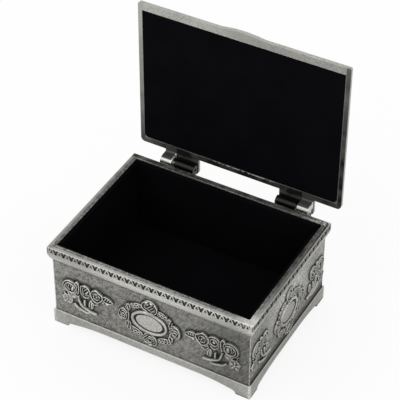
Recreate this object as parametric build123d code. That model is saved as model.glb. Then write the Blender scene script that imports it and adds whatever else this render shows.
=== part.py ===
from build123d import *
import os

# A lined keepsake box in cast metal: X runs left to right, Y front to back, Z up.
# The origin lies on the table under the middle of the rim. Sizes are in millimetres.
# The lid is drawn shut and then turned back on its hinge to stand open.

# ---- Box casting ----
box_length = 89.0            # over the rim, left to right
box_width = 65.6             # over the rim, front to back
box_height = 39.9            # table to the crest of the rim
rim_width = 2.8              # rim face to lining, seen from above
rim_height = 7.1             # crest of the rim to the top of the wall below it
rim_fillet_height = 0.2      # plain strip between the belly's fullest line and the band
rim_crest_inset = 1.3        # rim face to the crest
rim_crest_step = 0.12        # the flat inside the crest lies this much lower
crest_swell = 0.1            # how far the crest's curve stands out of a straight line
belly_sag_inset = 1.0        # a point on the belly's curve, from the wall's face
belly_sag_height = 1.95      # the same point, above the top of the wall
wall_inset = 1.5             # rim face to wall face
band_height = 2.5            # recessed band round the rim that carries the zigzag
band_top_drop = 0.3          # crest of the rim to the band
band_lean = 0.05             # the band leans in by this much over its height
band_depth = 0.35
plinth_outset = 0.65         # plinth face stands this far out of the wall
plinth_height = 6.8
plinth_rounding = 0.4
foot_rounding = 0.35
foot_length = 6.1            # flat of each bracket foot along a side
foot_step_height = 1.85      # short curve up the inner end of a foot
foot_step_length = 1.5
foot_step_shoulder = 1.2     # height of the middle of that curve
foot_step_bulge = 0.4        # how far its middle lies from the foot
apron_height = 3.4           # table to the underside of the plinth at mid side
apron_rise_length = 15.0     # length over which the apron climbs from the step
apron_bulge = 0.35           # how far that climb stands above a straight line
floor_underside = 4.3
floor_thickness = 1.3
cavity_corner = 0.4

# ---- Oval medallions on the four walls and the lid ----
medallion_length = 16.1      # over the ring
medallion_height = 11.2
medallion_ring_width = 1.3
medallion_ring_proud = 0.8
medallion_ring_rounding = 0.54
medallion_plate_proud = 0.35
medallion_centre_height = 19.4
side_medallion_length = 14.4

# ---- Rose relief: the main forms, from the middle of a wall and its foot on the table ----
relief_proud = 0.45          # main forms out of the wall
# heads, leaves and buds of the left spray: across, up, half length, half height, turn
spray_heads = [(-35.2, 22.4, 3.4, 3.4, 0), (-31.9, 23.3, 1.1, 2.9, 0), (-28.3, 23.0, 2.4, 3.0, 0)]
spray_foot = [(-36.8, 15.4, 2.2, 2.2, 0), (-34.2, 17.9, 1.7, 1.2, 30), (-26.1, 16.6, 1.05, 2.0, 0)]
spray_tip = [(-23.2, 22.7, 2.7, 2.9, 0), (-18.6, 22.8, 2.0, 1.3, -5), (-24.4, 19.2, 1.2, 1.3, 0)]
# stems: width, start, middle and end of an arc
spray_stems = [
    (1.0, (-31.8, 19.6), (-30.3, 15.7), (-23.5, 13.0)),
    (1.0, (-33.5, 14.5), (-31.0, 12.8), (-26.7, 12.6)),
    (0.9, (-28.8, 18.2), (-28.7, 16.9), (-28.7, 15.6)),
]
spray_wall_half = 43.0       # half length of the wall that those places are for
side_spray_scale = 0.95      # the sprays on the ends are drawn in by this much
side_spray_outset = 2.85     # and stand this much nearer the end of their wall
# heads round the oval, and the leaves of one quarter
wreath_heads = [
    (0.35, 28.1, 3.1, 3.1, 0),
    (0.2, 10.9, 3.0, 3.0, 0),
    (-11.1, 19.3, 2.3, 2.7, 0),
    (11.3, 19.5, 2.3, 2.7, 0),
]
wreath_leaves = [(5.9, 6.6, 2.9, 1.1, -22), (9.2, 3.9, 0.8, 1.9, 12)]
lid_spray_inset = 5.1        # the lid's four sprays stand this much further from its ends
lid_spray_margin = 19.25     # lid's front or back edge to the level of an oval beside its spray

# ---- Linings ----
board_thickness = 0.8        # stiff card
velvet_thickness = 0.6
lining_drop = 0.6            # crest of the rim to the top of the velvet
lining_clearance = 0.1       # card or velvet to metal, each side
lining_butt_gap = 0.05       # velvet to velvet where two panels meet
felt_thickness = 0.8
felt_clearance = 0.4

# ---- Lid casting ----
lid_side_overhang = 0.6
lid_front_overhang = 1.3
lid_back_overhang = 0.6
lid_gap = 0.2                # crest of the rim to the shut lid
lid_edge_thickness = 1.9
lid_edge_rounding = 0.35
lid_front_corner = 0.8
lid_back_corner = 1.8
lid_shoulder_inset = 0.9     # lid edge to the foot of the cove
lid_cove_width = 2.3
cove_inset = 0.65            # a point on the cove's curve, from the raised frame
cove_rise = 0.7              # the same point, above the foot of the cove
lid_height = 4.2             # underside to the raised frame
lid_frame_rounding = 0.3
lid_frame_width = 3.3        # raised frame round the sunk field
lid_field_depth = 0.6
lid_band_margin = 0.45       # frame edge to the zigzag band in it
lid_wall = 1.2               # metal over the hollow
lid_ledge = 2.2              # ledge that the lining board rests on
lip_width = 18.0             # thumb lip at the middle of the front edge
lip_proud = 0.85
lining_border_side = 1.85    # bare metal round the lid lining
lining_border_front = 3.1
lining_border_back = 2.7
lining_corner = 1.8
lid_lining_recess = 0.05     # velvet lies this far below the border

# ---- Hinges ----
pivot_behind_rim = 4.35
pivot_below_crest = 2.15
open_angle = 90.0
pin_radius = 0.7
pin_recess = 1.7             # inner end of the lug to the end of the pin
pin_chamfer = 0.15
press_clearance = 0.01       # pin in lug, on the radius
running_clearance = 0.06     # knuckle on pin, on the radius
barrel_radius = 2.0
knuckle_radius = 2.8         # over the strip that curls round the pin
hinge_inset = 11.1           # end of the rim to the outer end of the knuckle
knuckle_width = 5.0
knuckle_gap = 1.0            # knuckle to lug, along the pin
lug_width = 8.9
lug_neck_thickness = 1.5
lug_seat_depth = 0.9         # the neck is let this far into the back of the rim
seat_clearance = 0.03
stop_clearance = 0.05        # heel of the lug to the open lid
stop_height = 3.2            # the heel reaches this far below the pivot
stop_top = 0.3               # the flat of the heel starts this far below the pivot
stop_root = 1.0              # the heel starts this far in front of the pivot
stop_toe = 0.6               # width of the heel's lower end
arm_thickness = 1.1
leg_height = 6.25            # pivot to the upper end of the leg on the open lid
leg_thickness = 0.8
leg_clearance = 0.03
arm_bend = 0.5               # bevel between arm and leg
tab_inner_margin = 0.2       # the lid's tab reaches past the lug and the knuckle
tab_outer_margin = 0.1
tab_root = 2.0               # the tab runs this far in under the edge of the lid
tab_length = 7.15
tab_thickness = 1.5
tab_corner = 0.6

round_middle = 0.293         # middle of a quarter round, as a share of its radius
cut_margin = 1.0             # cuts run past the face they start from by this much

# ---- Worked out from the above ----
half_length = box_length / 2
half_width = box_width / 2
cavity_half_length = half_length - rim_width
cavity_half_width = half_width - rim_width
floor_top = floor_underside + floor_thickness
plinth_inset = wall_inset - plinth_outset
wall_top = box_height - rim_height
band_top = box_height - band_top_drop
band_bottom = band_top - band_height
belly_level = band_bottom - rim_fillet_height
pivot_y = half_width + pivot_behind_rim
pivot_z = box_height - pivot_below_crest
lid_plane_offset = pivot_below_crest + lid_gap
lid_underside = pivot_z + lid_plane_offset
lid_back = half_width + lid_back_overhang
lid_front = -half_width - lid_front_overhang
lid_half_length = half_length + lid_side_overhang
lid_depth = lid_back - lid_front
lid_middle = (lid_back + lid_front) / 2
lid_frame_inset = lid_shoulder_inset + lid_cove_width
lid_field_inset = lid_frame_inset + lid_frame_width
lining_recess_depth = board_thickness + velvet_thickness + lid_lining_recess
knuckle_outer = half_length - hinge_inset
knuckle_inner = knuckle_outer - knuckle_width
lug_outer = knuckle_inner - knuckle_gap
lug_inner = lug_outer - lug_width
tab_inner = lug_inner - tab_inner_margin
tab_outer = knuckle_outer + tab_outer_margin
hinge_line = Axis((0, pivot_y, pivot_z), (1, 0, 0))
sides = {"left": -1, "right": 1}


def block(x_range, y_range, z_range):
    """A plain block between two values along each axis."""
    spans = [high - low for low, high in (x_range, y_range, z_range)]
    middle = [(low + high) / 2 for low, high in (x_range, y_range, z_range)]
    return Pos(*middle) * Box(*spans)


def moulding_curves(half, moulding):
    """Lines and arcs of a moulding, given as insets from the face and heights."""
    def place(point):
        return (half - point[0], point[1])

    curves = []
    here = place(moulding[0])
    for step in moulding[1:]:
        if isinstance(step[0], tuple):
            through, end = place(step[0]), place(step[1])
            curves.append(ThreePointArc(here, through, end))
        else:
            end = place(step)
            curves.append(Line(here, end))
        here = end
    return curves


def moulded_bar(half, moulding, reach, plane):
    """A bar that shows the moulding on both sides."""
    right = moulding_curves(half, moulding)
    left = [mirror(curve, about=Plane.YZ) for curve in right]
    top = Line(right[-1] @ 1, left[-1] @ 1)
    bottom = Line(right[0] @ 0, left[0] @ 0)
    face = make_face([*right, *left, top, bottom])
    return extrude(plane * face, amount=reach, both=True)


def moulded_block(half_x, half_y, moulding):
    """A block with one moulding round all four sides, mitred at its corners."""
    long_bar = moulded_bar(half_y, moulding, half_x, Plane.YZ)
    cross_bar = moulded_bar(half_x, moulding, half_y, Plane.XZ)
    return long_bar & cross_bar


def box_moulding():
    """Foot, plinth, wall, rim belly, band and crest, from the table up."""
    return [
        (plinth_inset + foot_rounding, 0),
        (
            (plinth_inset + foot_rounding * round_middle, foot_rounding * round_middle),
            (plinth_inset, foot_rounding),
        ),
        (plinth_inset, plinth_height - plinth_rounding),
        (
            (plinth_inset + plinth_rounding * round_middle, plinth_height - plinth_rounding * round_middle),
            (plinth_inset + plinth_rounding, plinth_height),
        ),
        (wall_inset, plinth_height),
        (wall_inset, wall_top),
        ((wall_inset - belly_sag_inset, wall_top + belly_sag_height), (0, belly_level)),
        (0, band_bottom),
        (band_depth, band_bottom),
        (band_depth + band_lean, band_top),
        (band_lean, band_top),
        (
            ((band_lean + rim_crest_inset) / 2 - crest_swell, (band_top + box_height) / 2 + crest_swell),
            (rim_crest_inset, box_height),
        ),
        (rim_crest_inset, box_height - rim_crest_step),
    ]


def foot_arch(half_side, reach, plane):
    """What is cut from under a side to leave its two bracket feet."""
    foot_end = half_side - foot_length
    step_end = foot_end - foot_step_length
    rise_end = step_end - apron_rise_length
    curves = [
        Line((foot_end, -cut_margin), (foot_end, 0)),
        ThreePointArc(
            (foot_end, 0),
            (foot_end - foot_step_bulge, foot_step_shoulder),
            (step_end, foot_step_height),
        ),
        ThreePointArc(
            (step_end, foot_step_height),
            ((step_end + rise_end) / 2, (foot_step_height + apron_height) / 2 + apron_bulge),
            (rise_end, apron_height),
        ),
    ]
    left = [mirror(curve, about=Plane.YZ) for curve in curves]
    top = Line(curves[-1] @ 1, left[-1] @ 1)
    bottom = Line(curves[0] @ 0, left[0] @ 0)
    face = make_face([*curves, *left, top, bottom])
    return extrude(plane * face, amount=reach, both=True)


def medallion(length):
    """An oval plate in a half-round ring, standing on the XY plane."""
    outer = Ellipse(length / 2, medallion_height / 2)
    inner = Ellipse(length / 2 - medallion_ring_width, medallion_height / 2 - medallion_ring_width)
    ring = extrude(outer - inner, amount=medallion_ring_proud)
    ring = fillet(ring.faces().sort_by(Axis.Z)[-1].edges(), medallion_ring_rounding)
    plate = extrude(inner, amount=medallion_plate_proud)
    return ring + plate


def spray_plan(with_tip, scale=1, shift=0):
    """Outlines of the spray left of an oval, seen from the oval's middle."""
    plan = []
    ovals = spray_heads + spray_foot + (spray_tip if with_tip else [])
    for across, up, half_across, half_up, turn in ovals:
        place = Pos(across * scale + shift, up - medallion_centre_height)
        plan.append(place * Rot(0, 0, turn) * Ellipse(half_across, half_up))
    for width, *points in spray_stems:
        points = [(across * scale + shift, up - medallion_centre_height) for across, up in points]
        plan.append(trace(ThreePointArc(*points), line_width=width))
    return plan


def wreath_plan(squeeze):
    """Outlines of the heads and leaves round an oval, drawn in towards its middle by squeeze."""
    plan = []
    for across, up, half_across, half_up, turn in wreath_heads:
        place = Pos(across * squeeze, up - medallion_centre_height)
        plan.append(place * Rot(0, 0, turn) * Ellipse(half_across, half_up))
    for flip_across in (1, -1):
        for flip_up in (1, -1):
            for across, up, half_across, half_up, turn in wreath_leaves:
                place = Pos(flip_across * across * squeeze, flip_up * up)
                turned = Rot(0, 0, flip_across * flip_up * turn)
                plan.append(place * turned * Ellipse(half_across, half_up))
    return plan


def relief(plan):
    """One low casting from overlapping outlines, standing on the XY plane."""
    sheet = plan[0]
    for outline in plan[1:]:
        sheet += outline
    return extrude(sheet, amount=relief_proud)


def with_mirror_image(spray):
    return [spray, mirror(spray, about=Plane.YZ)]


def long_ornament():
    """Oval, wreath and two sprays of a long wall, seen from the oval's middle."""
    shift = spray_wall_half - (half_length - wall_inset)
    sprays = with_mirror_image(relief(spray_plan(with_tip=True, shift=shift)))
    return [medallion(medallion_length), relief(wreath_plan(1)), *sprays]


def short_ornament():
    """The same for an end wall, where the sprays have no tip."""
    squeeze = side_medallion_length / medallion_length
    shift = side_spray_scale * spray_wall_half - side_spray_outset - (half_width - wall_inset)
    spray = relief(spray_plan(with_tip=False, scale=side_spray_scale, shift=shift))
    return [medallion(side_medallion_length), relief(wreath_plan(squeeze)), *with_mirror_image(spray)]


def lid_ornament():
    """The same for the lid, with a spray towards each corner."""
    shift = spray_wall_half + lid_spray_inset - lid_half_length
    spray = relief(spray_plan(with_tip=True, shift=shift))
    upper = Pos(0, lid_depth / 2 - lid_spray_margin, 0) * spray
    lower = mirror(upper, about=Plane.XZ)
    corners = [*with_mirror_image(upper), *with_mirror_image(lower)]
    return [medallion(medallion_length), relief(wreath_plan(1)), *corners]


def wall_ornament():
    """Everything cast on the four walls, each in its place."""
    wall_y = half_width - wall_inset
    wall_x = half_length - wall_inset
    front = Plane((0, -wall_y, medallion_centre_height), x_dir=(1, 0, 0), z_dir=(0, -1, 0))
    back = Plane((0, wall_y, medallion_centre_height), x_dir=(-1, 0, 0), z_dir=(0, 1, 0))
    left = Plane((-wall_x, 0, medallion_centre_height), x_dir=(0, -1, 0), z_dir=(-1, 0, 0))
    right = Plane((wall_x, 0, medallion_centre_height), x_dir=(0, 1, 0), z_dir=(1, 0, 0))
    for planes, ornament in (((front, back), long_ornament()), ((left, right), short_ornament())):
        for plane in planes:
            for piece in ornament:
                yield plane * piece


def lug_seat(side):
    """The pocket in the back of the rim that a lug's neck is let into."""
    low = pivot_z - barrel_radius - seat_clearance
    high = pivot_z - barrel_radius + lug_neck_thickness + seat_clearance
    ends = sorted((side * (lug_inner - seat_clearance), side * (lug_outer + seat_clearance)))
    return block(ends, (half_width - lug_seat_depth, half_width + cut_margin), (low, high))


def box_body():
    body = moulded_block(half_length, half_width, box_moulding())
    cavity_plan = RectangleRounded(2 * cavity_half_length, 2 * cavity_half_width, cavity_corner)
    cavity = extrude(cavity_plan, amount=box_height)
    body -= Pos(0, 0, floor_top) * cavity
    body -= Pos(0, 0, floor_underside - box_height) * cavity
    body -= foot_arch(half_length - plinth_inset, half_width, Plane.XZ)
    body -= foot_arch(half_width - plinth_inset, half_length, Plane.YZ)
    for side in sides.values():
        body -= lug_seat(side)
    for ornament in wall_ornament():
        body += ornament
    return body


def base_felt():
    half_x = cavity_half_length - felt_clearance
    half_y = cavity_half_width - felt_clearance
    sheet = extrude(RectangleRounded(2 * half_x, 2 * half_y, cavity_corner), amount=felt_thickness)
    return Pos(0, 0, floor_underside - felt_thickness) * sheet


def covered_board(half_x, half_y, corner):
    """A card with velvet over its top and down its four edges, resting on the XY plane."""
    card_x = half_x - velvet_thickness
    card_y = half_y - velvet_thickness
    card = extrude(Rectangle(2 * card_x, 2 * card_y), amount=board_thickness)
    whole = extrude(
        RectangleRounded(2 * half_x, 2 * half_y, corner),
        amount=board_thickness + velvet_thickness,
    )
    return card, whole - card


def floor_lining():
    half_x = cavity_half_length - lining_clearance
    half_y = cavity_half_width - lining_clearance
    card, velvet = covered_board(half_x, half_y, cavity_corner)
    return Pos(0, 0, floor_top) * card, Pos(0, 0, floor_top) * velvet


def wall_lining(half_run):
    """Card and velvet of one wall: the wall is at y = 0 and the box's inside at y > 0."""
    low = floor_top + board_thickness + velvet_thickness + lining_butt_gap
    high = box_height - lining_drop
    run = (-half_run, half_run)
    card_run = (-half_run + velvet_thickness, half_run - velvet_thickness)
    card = block(card_run, (0, board_thickness), (low, high - velvet_thickness))
    velvet = block(run, (0, board_thickness + velvet_thickness), (low, high)) - card
    wall_edges = velvet.edges().filter_by(Axis.Z).group_by(Axis.Y)[0].sort_by(Axis.X)
    velvet = fillet([wall_edges[0], wall_edges[-1]], cavity_corner)
    return card, velvet


def wall_linings():
    """Card and velvet for each wall. The end panels stand between the long ones."""
    depth = board_thickness + velvet_thickness
    long_run = cavity_half_length - lining_clearance
    short_run = cavity_half_width - depth - lining_clearance - lining_butt_gap
    places = {
        "front": (Pos(0, -cavity_half_width, 0), long_run),
        "back": (Pos(0, cavity_half_width, 0) * Rot(0, 0, 180), long_run),
        "left": (Pos(-cavity_half_length, 0, 0) * Rot(0, 0, -90), short_run),
        "right": (Pos(cavity_half_length, 0, 0) * Rot(0, 0, 90), short_run),
    }
    for name, (place, run) in places.items():
        card, velvet = wall_lining(run)
        yield name, place * card, place * velvet


def hinge_section(curves):
    """A face in the YZ plane, drawn about the pivot."""
    plane = Plane((0, pivot_y, pivot_z), x_dir=(0, 1, 0), z_dir=(1, 0, 0))
    return plane * make_face(curves)


def along_hinge(face, inner, outer, side):
    """A hinge section made solid between two distances from the middle of the box."""
    low, high = sorted((side * inner, side * outer))
    return Pos(low, 0, 0) * extrude(face, amount=high - low, dir=(1, 0, 0))


def pin_bore(radius, inner, outer, side):
    middle = side * (inner + outer) / 2
    length = outer - inner + 2 * cut_margin
    return Pos(middle, pivot_y, pivot_z) * Rot(0, 90, 0) * Cylinder(radius, length)


def barrel(radius, inner, outer, side):
    middle = side * (inner + outer) / 2
    return Pos(middle, pivot_y, pivot_z) * Rot(0, 90, 0) * Cylinder(radius, outer - inner)


def hinge_lug(side):
    """Fixed barrel with a neck into the rim and a heel that stops the open lid."""
    neck_front = -(pivot_behind_rim + lug_seat_depth)
    neck_low = -barrel_radius
    neck_high = neck_low + lug_neck_thickness
    heel = lid_plane_offset - stop_clearance
    neck = hinge_section(Polyline([
        (neck_front, neck_low),
        (0, neck_low),
        (0, neck_high),
        (neck_front, neck_high),
        (neck_front, neck_low),
    ]))
    stop = hinge_section(Polyline([
        (-stop_root, neck_low),
        (heel - stop_toe, -stop_height),
        (heel, -stop_height),
        (heel, -stop_top),
        (0, -stop_top),
        (-stop_root, neck_low),
    ]))
    lug = barrel(barrel_radius, lug_inner, lug_outer, side)
    lug += along_hinge(neck, lug_inner, lug_outer, side)
    lug += along_hinge(stop, lug_inner, lug_outer, side)
    return lug - pin_bore(pin_radius + press_clearance, lug_inner, lug_outer, side)


def hinge_pin(side):
    start = lug_inner + pin_recess
    length = knuckle_outer - start
    middle = side * (start + knuckle_outer) / 2
    pin = Cylinder(pin_radius, length)
    pin = chamfer(pin.edges().filter_by(GeomType.CIRCLE), pin_chamfer)
    return Pos(middle, pivot_y, pivot_z) * Rot(0, 90, 0) * pin


def hinge_knuckle(side):
    """Strip that lies in the open lid, comes forward as a level arm and curls round the pin."""
    plane_reach = lid_plane_offset + leg_thickness
    arm_low = knuckle_radius - arm_thickness
    strip = hinge_section(Polyline([
        (0, knuckle_radius),
        (lid_plane_offset - arm_bend, knuckle_radius),
        (lid_plane_offset, knuckle_radius + arm_bend),
        (lid_plane_offset, leg_height),
        (plane_reach, leg_height),
        (plane_reach, arm_low + leg_thickness),
        (lid_plane_offset - leg_clearance, arm_low + leg_clearance),
        (0, arm_low),
        (0, knuckle_radius),
    ]))
    knuckle = barrel(knuckle_radius, knuckle_inner, knuckle_outer, side)
    behind = hinge_section(Polyline([
        (lid_plane_offset - leg_clearance, -knuckle_radius),
        (knuckle_radius + cut_margin, -knuckle_radius),
        (knuckle_radius + cut_margin, knuckle_radius),
        (lid_plane_offset - leg_clearance, knuckle_radius),
        (lid_plane_offset - leg_clearance, -knuckle_radius),
    ]))
    knuckle -= along_hinge(behind, knuckle_inner, knuckle_outer, side)
    knuckle += along_hinge(strip, knuckle_inner, knuckle_outer, side)
    return knuckle - pin_bore(pin_radius + running_clearance, knuckle_inner, knuckle_outer, side)


def knuckle_groove(side):
    """The groove that takes a knuckle's leg, cut in the open lid."""
    ends = sorted((side * (knuckle_inner - leg_clearance), side * (knuckle_outer + leg_clearance)))
    face_y = pivot_y + lid_plane_offset
    low = pivot_z + knuckle_radius - arm_thickness
    high = pivot_z + leg_height + leg_clearance
    return block(ends, (face_y - cut_margin, face_y + leg_thickness + leg_clearance), (low, high))


def lid_outline():
    """Plan of the lid's edge: square at the front with a thumb lip, rounder at the back."""
    sheet = Pos(0, lid_middle) * Rectangle(2 * lid_half_length, lid_depth)
    corners = sheet.vertices().sort_by(Axis.Y)
    sheet = fillet(corners[:2], lid_front_corner)
    corners = sheet.vertices().sort_by(Axis.Y)
    sheet = fillet(corners[-2:], lid_back_corner)
    half_lip = lip_width / 2
    tip = lid_front - lip_proud
    root = lid_front + cut_margin
    lip = make_face([
        ThreePointArc((-half_lip, lid_front), (0, tip), (half_lip, lid_front)),
        Polyline([(half_lip, lid_front), (half_lip, root), (-half_lip, root), (-half_lip, lid_front)]),
    ])
    return sheet + lip


def lid_crown():
    """The raised top of the shut lid, above its edge, measured from its underside."""
    top = lid_height
    rounding = lid_frame_rounding
    profile = [
        (lid_shoulder_inset, lid_edge_thickness / 2),
        (lid_shoulder_inset, lid_edge_thickness),
        (
            (lid_shoulder_inset + lid_cove_width - cove_inset, lid_edge_thickness + cove_rise),
            (lid_frame_inset, top - rounding),
        ),
        (
            (lid_frame_inset + rounding * round_middle, top - rounding * round_middle),
            (lid_frame_inset + rounding, top),
        ),
        (lid_field_inset, top),
    ]
    crown = moulded_block(lid_half_length, lid_depth / 2, profile)
    field = Rectangle(2 * (lid_half_length - lid_field_inset), lid_depth - 2 * lid_field_inset)
    crown -= Pos(0, 0, top - lid_field_depth) * extrude(field, amount=cut_margin)
    band_outer = lid_frame_inset + rounding + lid_band_margin
    band_inner = lid_field_inset - lid_band_margin
    band = Rectangle(2 * (lid_half_length - band_outer), lid_depth - 2 * band_outer)
    band -= Rectangle(2 * (lid_half_length - band_inner), lid_depth - 2 * band_inner)
    crown -= Pos(0, 0, top - band_depth) * extrude(band, amount=cut_margin)
    return Pos(0, lid_middle, 0) * crown


def lining_plan(shrink):
    """Plan of the recess for the lid lining, drawn in by shrink on all sides."""
    low = lid_front + lining_border_front + shrink
    high = lid_back - lining_border_back - shrink
    half_x = lid_half_length - lining_border_side - shrink
    sheet = Pos(0, (low + high) / 2) * Rectangle(2 * half_x, high - low)
    back_corners = sheet.vertices().sort_by(Axis.Y)[-2:]
    return fillet(back_corners, lining_corner)


def lid_tab(side):
    """Tongue of the lid that covers a hinge from behind."""
    ends = sorted((side * tab_inner, side * tab_outer))
    plate = block(ends, (lid_back - tab_root, lid_back + tab_length), (0, tab_thickness))
    far_edges = plate.edges().filter_by(Axis.Z).group_by(Axis.Y)[-1]
    return fillet(far_edges, tab_corner)


def lid_plate():
    """The shut lid's casting, with its underside on the XY plane."""
    plate = extrude(lid_outline(), amount=lid_edge_thickness)
    rounded = plate.faces().sort_by(Axis.Z)
    plate = fillet(rounded[-1].edges(), lid_edge_rounding)
    plate += lid_crown()
    for side in sides.values():
        plate += lid_tab(side)
    plate -= extrude(lining_plan(0), amount=lining_recess_depth)
    hollow_depth = lid_height - lid_field_depth - lid_wall
    plate -= extrude(lining_plan(lid_ledge), amount=hollow_depth)
    field = Pos(0, lid_middle, lid_height - lid_field_depth)
    for ornament in lid_ornament():
        plate += field * ornament
    return plate


def lid_lining():
    """Card and velvet of the shut lid, with its velvet face lid_lining_recess above z = 0."""
    plan = lining_plan(lining_clearance)
    velvet = Pos(0, 0, lid_lining_recess) * extrude(plan, amount=board_thickness + velvet_thickness)
    card_plan = lining_plan(lining_clearance + velvet_thickness)
    card = Pos(0, 0, lid_lining_recess + velvet_thickness) * extrude(card_plan, amount=board_thickness)
    return card, velvet - card


def opened(shut_part):
    """A piece of the shut lid, lifted to the rim and turned back on the hinge line."""
    return (Pos(0, 0, lid_underside) * shut_part).rotate(hinge_line, -open_angle)


def all_pieces():
    pieces = {
        "box_body": box_body(),
        "base_felt": base_felt(),
    }
    pieces["floor_board"], pieces["floor_velvet"] = floor_lining()
    for name, card, velvet in wall_linings():
        pieces[f"{name}_board"] = card
        pieces[f"{name}_velvet"] = velvet
    lid = opened(lid_plate())
    for name, side in sides.items():
        pieces[f"hinge_lug_{name}"] = hinge_lug(side)
        pieces[f"hinge_pin_{name}"] = hinge_pin(side)
        pieces[f"hinge_knuckle_{name}"] = hinge_knuckle(side)
        lid -= knuckle_groove(side)
    pieces["lid_plate"] = lid
    card, velvet = lid_lining()
    pieces["lid_board"] = opened(card)
    pieces["lid_velvet"] = opened(velvet)
    return pieces


os.makedirs("parts", exist_ok=True)
for node, piece in all_pieces().items():
    export_step(piece, f"parts/{node}.step")
    print(node, round(piece.volume, 1), piece.is_valid)
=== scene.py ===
# Lined rosary box: a cast box and lid with rose relief, two hinges and a black velvet lining.
# X runs left to right, Y front to back, Z up. Blender works in metres; sizes and places listed here are in
# millimetres, and the scales of noises are per metre.
import bpy
import bmesh
import math
from mathutils import Matrix, Vector, noise


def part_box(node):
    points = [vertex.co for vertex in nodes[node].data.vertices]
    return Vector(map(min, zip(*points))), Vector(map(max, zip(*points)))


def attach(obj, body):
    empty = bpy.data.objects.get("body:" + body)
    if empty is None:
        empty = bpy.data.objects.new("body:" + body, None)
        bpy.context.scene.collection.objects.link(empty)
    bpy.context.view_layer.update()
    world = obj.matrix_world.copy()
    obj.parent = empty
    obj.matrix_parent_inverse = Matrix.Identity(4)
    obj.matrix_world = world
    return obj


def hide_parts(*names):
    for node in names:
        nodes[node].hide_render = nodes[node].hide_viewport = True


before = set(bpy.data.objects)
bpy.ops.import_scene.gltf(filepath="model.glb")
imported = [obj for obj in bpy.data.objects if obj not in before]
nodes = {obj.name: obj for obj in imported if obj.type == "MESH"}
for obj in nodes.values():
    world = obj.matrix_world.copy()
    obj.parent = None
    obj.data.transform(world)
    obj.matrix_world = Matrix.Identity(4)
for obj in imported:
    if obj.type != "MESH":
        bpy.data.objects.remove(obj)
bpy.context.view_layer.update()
mm = 0.001
print("frame loaded:", len(nodes), "nodes")


def vertsOf(geom):
    return [g for g in geom if isinstance(g, bmesh.types.BMVert)]


def edgesOf(geom):
    return [g for g in geom if isinstance(g, bmesh.types.BMEdge)]


def roundEdges(bm, geom, radius, steps, affect="EDGES"):
    bmesh.ops.bevel(bm, geom=geom, offset=radius, segments=steps, profile=0.5, affect=affect, material=-1)


def makeObject(name, bm):
    mesh = bpy.data.meshes.new(name)
    bm.to_mesh(mesh)
    bm.free()
    made = bpy.data.objects.new(name, mesh)
    bpy.context.scene.collection.objects.link(made)
    return made


def addPart(target, part, x=0.0, turn=0.0, scale=(1, 1, 1)):
    move = Matrix.Translation((x, 0, 0)) @ Matrix.Rotation(math.radians(turn), 4, "Z")
    move = move @ Matrix.Diagonal((*scale, 1))
    bmesh.ops.transform(part, matrix=move, verts=part.verts)
    if move.is_negative:
        bmesh.ops.reverse_faces(part, faces=part.faces)
    mesh = bpy.data.meshes.new("part")
    part.to_mesh(mesh)
    part.free()
    target.from_mesh(mesh)
    bpy.data.meshes.remove(mesh)


def finishPiece(name, bm, place, body, material):
    # the shape is in millimetres on its own sheet; place puts it on the box
    bmesh.ops.transform(bm, matrix=place @ Matrix.Scale(mm, 4), verts=bm.verts)
    if place.is_negative:
        bmesh.ops.reverse_faces(bm, faces=bm.faces)
    piece = makeObject(name, bm)
    piece.data.materials.append(material)
    piece.data.shade_smooth()
    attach(piece, body)
    return piece


def sheetPlace(origin, across, up):
    # a sheet's x runs across, its y up, and its z out of the metal
    across, up = Vector(across).normalized(), Vector(up).normalized()
    out = across.cross(up)
    turn = Matrix((across, up, out)).transposed().to_4x4()
    return Matrix.Translation(Vector(origin) * mm) @ turn


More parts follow.
